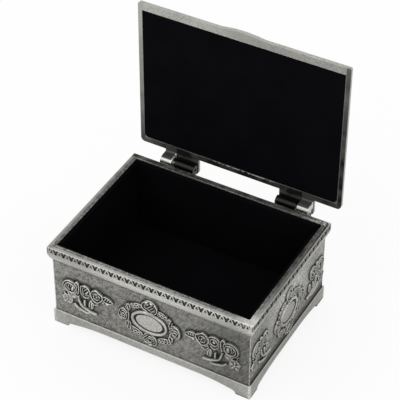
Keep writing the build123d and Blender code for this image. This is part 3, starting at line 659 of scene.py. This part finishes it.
# the four roses of the wreath: top, foot, left and right
roses = {
    "plates": [(0.35, 28.1, 3.1, 3.1, 0), (0.2, 10.9, 3.0, 3.0, 0),
               (-11.1, 19.3, 2.3, 2.7, 0), (11.3, 19.5, 2.3, 2.7, 0)],
    "mounds": [(-1.0, 30.2, 1.8, 1.1, 1.05, 25), (1.3, 30.4, 1.6, 1.0, 1.05, -25),
               (-1.5, 9.3, 1.8, 1.0, 1.05, -35), (0.5, 8.6, 1.8, 1.0, 1.05, 5)],
    "ridges": [
        (0.50, 1.10, [(-0.6, 27.6), (0.5, 28.7), (1.6, 29.5)]),
        (0.50, 1.10, [(0.2, 26.9), (1.3, 28.0), (2.3, 28.9)]),
        (0.50, 1.10, [(1.1, 26.3), (2.1, 27.2), (2.9, 28.1)]),
        (0.60, 1.00, arc(0.5, 28.0, 3.2, -78, 50)),
        (0.55, 1.05, arc(-0.7, 28.2, 2.2, 110, 262)),
        (0.50, 1.05, arc(-0.4, 28.3, 1.2, 70, 250)),
        (0.55, 1.00, [(-1.2, 25.9), (0.3, 25.3), (1.8, 25.4)]),
        (0.50, 1.05, [(-2.5, 11.0), (-1.6, 12.2), (-0.6, 13.2)]),
        (0.50, 1.05, [(-2.1, 9.9), (-0.9, 11.6), (0.5, 13.0)]),
        (0.52, 1.10, arc(0.55, 11.1, 0.95, 0, 360, 1.0, 12)),
        (0.52, 1.05, arc(0.45, 11.0, 1.95, -50, 105)),
        (0.60, 1.00, arc(0.3, 11.0, 2.95, -62, 75)),
        (0.50, 1.05, [(-1.3, 10.4), (-0.4, 9.7), (1.1, 9.6)]),
        (0.60, 1.00, [(-12.6, 21.6), (-13.2, 19.8), (-13.0, 18.0), (-11.9, 16.4)]),
        (0.50, 1.05, [(-12.3, 20.4), (-12.3, 18.9), (-11.5, 17.7), (-10.6, 18.3), (-10.3, 19.7)]),
        (0.50, 1.10, arc(-11.25, 19.5, 0.65, 0, 360, 1.0, 10)),
        (0.55, 1.00, [(-12.2, 22.2), (-11.2, 22.7), (-10.1, 22.0), (-9.6, 20.8)]),
        (0.50, 1.05, [(-11.9, 21.3), (-10.9, 21.5), (-10.0, 20.6), (-9.7, 18.9), (-10.3, 17.2)]),
        (0.55, 0.95, [(-9.0, 20.2), (-8.9, 18.6), (-9.4, 16.9), (-10.5, 15.9)]),
        (0.60, 1.00, [(9.6, 22.6), (11.2, 23.3), (12.8, 22.2), (13.5, 20.2), (13.1, 18.0), (11.6, 16.6)]),
        (0.50, 1.05, arc(11.5, 19.6, 1.75, -100, 130)),
        (0.50, 1.10, arc(11.35, 19.5, 0.8, 0, 360, 1.0, 10)),
        (0.50, 1.05, [(8.9, 20.9), (9.8, 21.9), (11.0, 22.1)]),
        (0.50, 1.05, [(8.9, 19.4), (9.6, 20.6), (10.4, 21.1)]),
        (0.55, 0.95, [(9.2, 18.4), (9.5, 17.2), (10.6, 16.3)]),
    ],
}
# one quarter of the leaves round the oval
sprigs = {
    "plates": [(-5.9, 26.0, 2.9, 1.1, 22), (-9.2, 23.3, 0.8, 1.9, -12)],
    "mounds": [(-8.8, 24.9, 1.4, 0.45, 0.92, 85), (-7.4, 25.7, 1.4, 0.45, 0.92, 80)],
    "ridges": [
        (0.46, 1.02, [(-9.35, 23.9), (-9.4, 25.2), (-8.9, 26.0), (-8.3, 25.5), (-8.2, 24.3)]),
        (0.46, 1.02, [(-8.0, 24.9), (-8.0, 26.1), (-7.4, 26.8), (-6.8, 26.2), (-6.8, 25.2)]),
        (0.46, 1.00, arc(-5.95, 26.15, 0.62, 0, 360)),
        (0.46, 1.00, arc(-4.65, 26.5, 0.62, 0, 360)),
        (0.58, 1.00, [(-9.7, 25.7), (-9.3, 24.4), (-8.9, 22.9), (-9.1, 21.6)]),
        (0.50, 0.95, [(-10.2, 24.4), (-10.1, 23.4)]),
    ],
}
casting = {
    "middle": 19.4,         # height of the ovals above the table
    "voxel": 0.12,
    "softening": 1, "crestPasses": 12, "smoothing": 0.5,
    "lift": 1.25, "endLift": 0.92,   # height of ridges and mounds against the listed ones
    "sink": 0.06, "spare": 0.12,     # how far it reaches into the wall, and how much more before the cut
    "plateHeight": 0.55,
    "endDraw": 0.95, "endShift": 6.7, "endSqueeze": 0.894,
}
# the oval in the wreath has a plate, rubbed as bright as the ridges, and a bead round it, with a black line
# left between the two; that line is a little wider on the right and at the top
oval = {
    "halfX": 6.7, "halfY": 4.25, "height": 0.38, "tolerance": 0.05,
    "bright": 0.86, "brightLeft": 0.12, "brightLow": 0.18, "edge": 0.985,
    "crest": 0.026, "endCrest": 0.014, "black": -0.032,
    "beadRadius": 7.38, "beadTall": 0.666, "beadSteps": 40, "beadWidth": 1.62, "beadHeight": 0.90,
}


def addForms(bm, forms, lift, draw=1.0, shift=0.0):
    middle = casting["middle"]
    for x, y, halfX, halfY, turn in forms["plates"]:
        plate(bm, x * draw + shift, y - middle, halfX, halfY, casting["plateHeight"], turn)
    for x, y, length, width, height, turn in forms["mounds"]:
        mound(bm, x * draw + shift, y - middle, length, width, height * lift, turn)
    for width, height, points in forms["ridges"]:
        ridge(bm, width, height * lift, [(x * draw + shift, y - middle) for x, y in points])


def soften(bm, passes):
    for _ in range(passes):
        bmesh.ops.smooth_vert(bm, verts=bm.verts, factor=casting["smoothing"],
                              use_axis_x=True, use_axis_y=True, use_axis_z=True)


def cutBack(bm, depth):
    # takes off all that lies deeper, and returns the cut
    geom = [*bm.verts, *bm.edges, *bm.faces]
    return bmesh.ops.bisect_plane(bm, geom=geom, dist=0.001, plane_co=(0, 0, -depth), plane_no=(0, 0, -1),
                                  clear_outer=True)["geom_cut"]


def castTogether(bm):
    # melts the loose parts into one casting, notes its ridges and hollows, and cuts it off flat at the back
    loose = makeObject("loose", bm)
    melt = loose.modifiers.new("melt", "REMESH")
    melt.mode = "VOXEL"
    melt.voxel_size = casting["voxel"]
    melted = loose.evaluated_get(bpy.context.evaluated_depsgraph_get())
    cast = bmesh.new()
    cast.from_mesh(melted.to_mesh())
    mesh = loose.data
    bpy.data.objects.remove(loose)
    bpy.data.meshes.remove(mesh)
    cutBack(cast, casting["sink"] + casting["spare"])
    soften(cast, casting["softening"])
    worn = cast.copy()
    soften(worn, casting["crestPasses"])
    cast.normal_update()
    crest = cast.verts.layers.float.new("crest")
    for v, w in zip(cast.verts, worn.verts):
        v[crest] = (v.co - w.co).dot(v.normal)
    worn.free()
    bmesh.ops.holes_fill(cast, edges=edgesOf(cutBack(cast, casting["sink"])))
    return cast


def castSpray(long, mirrored):
    # the left spray or its mirror image, for a long wall or for an end
    forms = [spray, roundRose if mirrored else openRose]
    lift, draw, shift = casting["endLift"], casting["endDraw"], casting["endShift"]
    if long:
        forms.append(tip)
        lift, draw, shift = casting["lift"], 1.0, 0.0
    part = bmesh.new()
    for form in forms:
        addForms(part, form, lift, draw, shift)
    whole = bmesh.new()
    addPart(whole, part, scale=(-1 if mirrored else 1, 1, 1))
    return castTogether(whole)


def castWreath(lift, squeeze, ovalCrest):
    whole = bmesh.new()
    addForms(whole, roses, lift, squeeze)
    bead = arc(0, 0, oval["beadRadius"], 0, 360, oval["beadTall"], oval["beadSteps"])
    ridge(whole, oval["beadWidth"], oval["beadHeight"] * lift, [(x * squeeze, y) for x, y in bead])
    halfX, halfY = oval["halfX"] * squeeze, oval["halfY"]
    plate(whole, 0, 0, halfX, halfY, oval["height"])
    for sideX in (1, -1):
        for sideY in (1, -1):
            part = bmesh.new()
            addForms(part, sprigs, lift, squeeze)
            addPart(whole, part, scale=(sideX, sideY, 1))
    cast = castTogether(whole)
    crest = cast.verts.layers.float["crest"]
    for v in cast.verts:
        x, y, z = v.co
        if z < oval["height"] + oval["tolerance"] and math.hypot(x / halfX, y / halfY) < oval["edge"]:
            out = math.hypot((x + oval["brightLeft"]) / halfX, (y + oval["brightLow"]) / halfY)
            v[crest] = max(v[crest], ovalCrest) if out < oval["bright"] else oval["black"]
    return cast


casts = {
    "long": {"left_spray": castSpray(True, False), "right_spray": castSpray(True, True),
             "wreath": castWreath(casting["lift"], 1.0, oval["crest"])},
    "end": {"left_spray": castSpray(False, False), "right_spray": castSpray(False, True),
            "wreath": castWreath(casting["endLift"], casting["endSqueeze"], oval["endCrest"])},
}
wall = {"halfX": 43.0, "halfY": 31.3}
middle = casting["middle"]
wallSheets = {
    "front": ("long", sheetPlace((0, -wall["halfY"], middle), (1, 0, 0), (0, 0, 1))),
    "back": ("long", sheetPlace((0, wall["halfY"], middle), (-1, 0, 0), (0, 0, 1))),
    "right": ("end", sheetPlace((wall["halfX"], 0, middle), (0, 1, 0), (0, 0, 1))),
    "left": ("end", sheetPlace((-wall["halfX"], 0, middle), (0, -1, 0), (0, 0, 1))),
}
for side, (kind, place) in wallSheets.items():
    for name, cast in casts[kind].items():
        material = reliefPewter if kind == "long" else endPewter
        finishPiece(side + "_" + name, cast.copy(), place, "box", material)
print("wall relief cast")

# the lid carries the wreath, and a spray towards each corner
lidCast = {"plane": 43.1, "middle": 75.25, "shift": 3.0, "rise": 14.5, "lower": 0.85}
lidSheet = sheetPlace((0, lidCast["plane"], lidCast["middle"]), (1, 0, 0), (0, 0, -1))
lower = Matrix.Diagonal((1, 1, lidCast["lower"], 1))
finishPiece("lid_wreath", casts["long"]["wreath"].copy(), lidSheet @ lower, "lid", reliefPewter)
for row, flip in (("upper", 1), ("lower", -1)):
    for side, shift in (("left", lidCast["shift"]), ("right", -lidCast["shift"])):
        move = Matrix.Diagonal((1, flip, lidCast["lower"], 1))
        move = move @ Matrix.Translation((shift * mm, lidCast["rise"] * mm, 0))
        cast = casts["long"][side + "_spray"].copy()
        name = "lid_" + row + "_" + side + "_spray"
        finishPiece(name, cast, lidSheet @ move, "lid", reliefPewter)

cross = {"halfTall": 2.8, "halfWide": 1.8, "thick": 0.85, "height": 0.85, "bar": 0.9}
bm = bmesh.new()
ridge(bm, cross["thick"], cross["height"], [(0, -cross["halfTall"]), (0, cross["halfTall"])])
bar = [(side * cross["halfWide"], cross["bar"]) for side in (-1, 1)]
ridge(bm, cross["thick"], cross["height"], bar)
finishPiece("lid_cross", castTogether(bm), lidSheet, "lid", reliefPewter)
for kind in casts.values():
    for cast in kind.values():
        cast.free()
print("lid relief cast")

zigzag = {
    "foot": 1.45,            # half width of a tooth at its foot
    "tip": 0.32,             # and at its tip
    "thickness": 0.33,
    "bevel": 0.08,
    "notch": 0.44,           # width of the metal left round the notch in a tooth
    "notchDepth": 0.26, "notchSlope": 0.05,
    "small": {"top": 0.56, "tip": 0.07, "height": 1.0, "thickness": 0.24},   # hangs between two teeth
}
# the band under the box's rim leans out a little, and a square post closes it at each corner
rim = {"halfX": 44.5, "halfY": 32.8, "teethX": 25, "teethY": 18, "pitch": 3.52, "height": 2.5, "lean": 0.05,
       "low": 37.1, "inset": 0.36, "post": 1.15, "postBevel": 0.12, "postGap": 0.04}
lidBand = {"halfX": 40.1, "halfY": 28.75, "teethX": 24, "teethY": 17, "pitch": 3.42, "height": 2.1,
           "floor": 43.35}


def addTooth(bm, foot, tip, low, high, thickness):
    bmesh.ops.create_grid(bm, x_segments=1, y_segments=1, size=1)
    for v in bm.verts:
        v.co.x *= tip if v.co.y > 0 else foot
        v.co.y = high if v.co.y > 0 else low
    top = bmesh.ops.extrude_face_region(bm, geom=list(bm.faces))["geom"]
    bmesh.ops.translate(bm, verts=vertsOf(top), vec=(0, 0, thickness))
    bmesh.ops.recalc_face_normals(bm, faces=bm.faces)
    rims = [e for e in bm.edges if all(v.co.z > thickness / 2 for v in e.verts)]
    roundEdges(bm, rims, zigzag["bevel"], 2)
    return max(bm.faces, key=lambda f: (f.normal.z, f.calc_area()))


def addZigzag(bm, count, pitch, height):
    unit = bmesh.new()
    face = addTooth(unit, zigzag["foot"], zigzag["tip"], 0, height, zigzag["thickness"])
    metal = zigzag["notch"] - zigzag["bevel"]
    for inset, depth in ((metal, 0), (zigzag["notchSlope"], zigzag["notchDepth"])):
        bmesh.ops.inset_region(unit, faces=[face], thickness=inset, depth=-depth, use_even_offset=True)
    hanging = zigzag["small"]
    small = bmesh.new()
    addTooth(small, hanging["tip"], hanging["top"], height - hanging["height"], height, hanging["thickness"])
    for i in range(count):
        addPart(bm, unit.copy(), x=(i - (count - 1) / 2) * pitch)
        if i:
            addPart(bm, small.copy(), x=(i - count / 2) * pitch)
    unit.free()
    small.free()


def fourSides(band):
    # how far each side is turned from the front, its distance from the middle, half its length, and its teeth
    long = (band["halfY"], band["halfX"], band["teethX"])
    short = (band["halfX"], band["halfY"], band["teethY"])
    return [(0, *long), (90, *short), (180, *long), (270, *short)]


lean = sheetPlace((0, 0, 0), (1, 0, 0), (0, rim["lean"], rim["height"]))
post = rim["post"]
bm = bmesh.new()
for turn, half, across, count in fourSides(rim):
    part = bmesh.new()
    addZigzag(part, count, rim["pitch"], rim["height"])
    lay = Matrix.Translation((0, rim["inset"] - half, rim["low"])) @ lean
    bmesh.ops.transform(part, matrix=lay, verts=part.verts)
    addPart(bm, part, turn=turn)
    part = bmesh.new()
    bmesh.ops.create_cube(part, size=1, matrix=Matrix.Diagonal((post, post, rim["height"], 1)))
    roundEdges(part, part.edges, rim["postBevel"], 2)
    corner = post / 2 + rim["postGap"]
    up = rim["low"] + rim["height"] / 2
    bmesh.ops.translate(part, verts=part.verts, vec=(across - corner, corner - half, up))
    addPart(bm, part, turn=turn)
finishPiece("rim_zigzag", bm, Matrix(), "box", trimPewter)

bm = bmesh.new()
for turn, half, across, count in fourSides(lidBand):
    part = bmesh.new()
    addZigzag(part, count, lidBand["pitch"], lidBand["height"])
    bmesh.ops.translate(part, verts=part.verts, vec=(0, -half - lidBand["height"] / 2, 0))
    addPart(bm, part, turn=turn)
bandSheet = sheetPlace((0, lidBand["floor"], lidCast["middle"]), (1, 0, 0), (0, 0, -1))
finishPiece("lid_zigzag", bm, bandSheet, "lid", trimPewter)
print("zigzag trim made")


cloth = {
    "skin": 0.55,          # thickness of the velvet
    "fold": 0.42,          # rounding where it turns over the card
    "foldSteps": 3,
    "cornerSteps": 6,
    "squares": 3.0,        # spacing of the cuts that let it swell
    "swell": 0.05, "swellScale": 0.09,
    "nextSwell": 7.3,      # how far one cover's swelling lies from the next one's in the noise
}


def swelling(v, swell, scale, seed):
    return swell * (0.5 + 0.5 * noise.noise(Vector((v.co.x * scale, v.co.y * scale, seed))))


def softPanel(width, height, depth, look, corner=0.0, seed=0):
    # a face with rounded lower corners, cut into squares, turned down over its card and given a thickness
    bm = bmesh.new()
    face = Matrix.Diagonal((width, height, 1, 1))
    bmesh.ops.create_grid(bm, x_segments=1, y_segments=1, size=0.5, matrix=face)
    if corner:
        roundEdges(bm, [v for v in bm.verts if v.co.y < 0], corner, look["cornerSteps"], "VERTICES")
    for axis, span in ((0, width), (1, height)):
        count = round(span / look["squares"])
        for i in range(1, count):
            point, normal = Vector((0, 0, 0)), Vector((0, 0, 0))
            point[axis], normal[axis] = -span / 2 + span * i / count, 1
            geom = [*bm.verts, *bm.edges, *bm.faces]
            bmesh.ops.bisect_plane(bm, geom=geom, dist=0.0001, plane_co=point, plane_no=normal)
    border = [e for e in bm.edges if e.is_boundary]
    grown = bmesh.ops.extrude_edge_only(bm, edges=border)["geom"]
    bmesh.ops.translate(bm, verts=vertsOf(grown), vec=(0, 0, -depth))
    bmesh.ops.recalc_face_normals(bm, faces=bm.faces)
    roundEdges(bm, border, look["fold"], look["foldSteps"])
    for v in bm.verts:
        if v.co.z > -0.01:
            v.co.z -= swelling(v, look["swell"], look["swellScale"], seed)
    bmesh.ops.solidify(bm, geom=bm.faces, thickness=look["skin"])
    bmesh.ops.recalc_face_normals(bm, faces=bm.faces)
    return bm


# node: what it lies on, across, up, and the rounding of its lower corners; the face looks along across x up
panels = {
    "floor_velvet": ("floor_board", (1, 0, 0), (0, 1, 0), 0.0),
    "front_velvet": ("front_board", (-1, 0, 0), (0, 0, 1), 0.0),
    "back_velvet": ("back_board", (1, 0, 0), (0, 0, 1), 0.0),
    "left_velvet": ("left_board", (0, 1, 0), (0, 0, 1), 0.0),
    "right_velvet": ("right_board", (0, -1, 0), (0, 0, 1), 0.0),
    "lid_velvet": ("lid_board", (1, 0, 0), (0, 0, 1), 1.8),
}
for number, (node, (board, across, up, corner)) in enumerate(panels.items()):
    low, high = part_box(node)
    across, up = Vector(across), Vector(up)
    out = across.cross(up)
    size = (high - low) / mm
    width = abs(size.dot(across))
    height = abs(size.dot(up))
    depth = abs(size.dot(out))
    middle = (low + high) / 2 / mm + out * depth / 2
    bm = softPanel(width, height, depth, cloth, corner, number * cloth["nextSwell"])
    body = "lid" if node == "lid_velvet" else "box"
    piece = finishPiece(node + "_cover", bm, sheetPlace(middle, across, up), body, blackVelvet)
    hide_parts(node)

feltSheet = {"squaresX": 28, "squaresY": 20, "swell": 0.06, "swellScale": 0.11, "seed": 3.1, "thickness": 0.7}
low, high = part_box("base_felt")
size = (high - low) / mm
bm = bmesh.new()
bmesh.ops.create_grid(bm, x_segments=feltSheet["squaresX"], y_segments=feltSheet["squaresY"], size=0.5,
                      matrix=Matrix.Diagonal((size.x, size.y, 1, 1)))
for v in bm.verts:
    v.co.z -= swelling(v, feltSheet["swell"], feltSheet["swellScale"], feltSheet["seed"])
bmesh.ops.solidify(bm, geom=bm.faces, thickness=-feltSheet["thickness"])
bmesh.ops.recalc_face_normals(bm, faces=bm.faces)
lay = Matrix.Translation(((low.x + high.x) / 2, (low.y + high.y) / 2, high.z))
felt = finishPiece("felt_sheet", bm, lay, "box", blackFelt)
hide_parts("base_felt")
print("velvet and felt laid")


# the studio is in metres
studio = {
    "floorHalf": 3.0,
    "floorTone": 0.9, "floorRough": 0.9,
    "floorWhite": 0.86,     # plain white in the floor that the camera sees; the rest keeps the shadow
    "ambient": 0.95,        # light from all round on matt surfaces; metal and the camera see plain white
    "aim": (0, 0, 0.04),
}
lamps = {
    "keyLight": {"power": 1.5, "size": 0.7, "place": (-0.55, -0.45, 0.75)},
    "fillLight": {"power": 0.5, "size": 0.6, "place": (0.7, -0.3, 0.45)},
}
view = {
    "place": (0.234587, -0.417599, 0.467429),
    "azimuth": 28.876, "elevation": 40.5641, "roll": 0.228,
    "lens": 150.21, "sensor": 36.0,     # millimetres
}


def addGlow(tree, *rays):
    # one where any of the given kinds of ray looks
    path = tree.nodes.new("ShaderNodeLightPath")
    seen = path.outputs[rays[0]]
    for ray in rays[1:]:
        either = tree.nodes.new("ShaderNodeMath")
        either.operation = "MAXIMUM"
        tree.links.new(seen, either.inputs[0])
        tree.links.new(path.outputs[ray], either.inputs[1])
        seen = either.outputs[0]
    return seen


bm = bmesh.new()
bmesh.ops.create_grid(bm, x_segments=1, y_segments=1, size=studio["floorHalf"])
floor = makeObject("floor", bm)
n = Nodes("paleFloor")
n.put((studio["floorTone"],) * 3, n.shader.inputs["Base Color"])
n.shader.inputs["Roughness"].default_value = studio["floorRough"]
glow = n.add("Emission")
mix = n.add("MixShader")
n.link(n.math("MULTIPLY", addGlow(n.tree, "Is Camera Ray"), studio["floorWhite"]), mix.inputs[0])
n.link(n.shader.outputs[0], mix.inputs[1])
n.link(glow.outputs[0], mix.inputs[2])
n.link(mix.outputs[0], n.tree.nodes["Material Output"].inputs["Surface"])
floor.data.materials.append(n.material)

world = bpy.data.worlds.new("studioWorld")
bpy.context.scene.world = world
world.use_nodes = True
tree = world.node_tree
sky = tree.nodes["Background"]
lift = tree.nodes.new("ShaderNodeMapRange")
tree.links.new(addGlow(tree, "Is Camera Ray", "Is Glossy Ray"), lift.inputs["Value"])
lift.inputs["To Min"].default_value = studio["ambient"]
tree.links.new(lift.outputs["Result"], sky.inputs["Strength"])
sky.inputs["Color"].default_value = (1, 1, 1, 1)

for name, lamp in lamps.items():
    light = bpy.data.lights.new(name, "AREA")
    light.energy = lamp["power"]
    light.shape = "SQUARE"
    light.size = lamp["size"]
    holder = bpy.data.objects.new(name, light)
    bpy.context.scene.collection.objects.link(holder)
    aim = Vector(studio["aim"]) - Vector(lamp["place"])
    turn = aim.to_track_quat("-Z", "Y").to_matrix().to_4x4()
    holder.matrix_world = Matrix.Translation(lamp["place"]) @ turn

camera = bpy.data.cameras.new("camera")
camera.lens = view["lens"]
camera.sensor_width = view["sensor"]
cameraObject = bpy.data.objects.new("camera", camera)
bpy.context.scene.collection.objects.link(cameraObject)
turn = Matrix.Rotation(math.radians(view["azimuth"]), 4, "Z")
turn = turn @ Matrix.Rotation(math.radians(90 - view["elevation"]), 4, "X")
turn = turn @ Matrix.Rotation(math.radians(view["roll"]), 4, "Z")
cameraObject.matrix_world = Matrix.Translation(view["place"]) @ turn
bpy.context.scene.camera = cameraObject
bpy.context.scene.view_settings.view_transform = "Standard"
print("studio set")
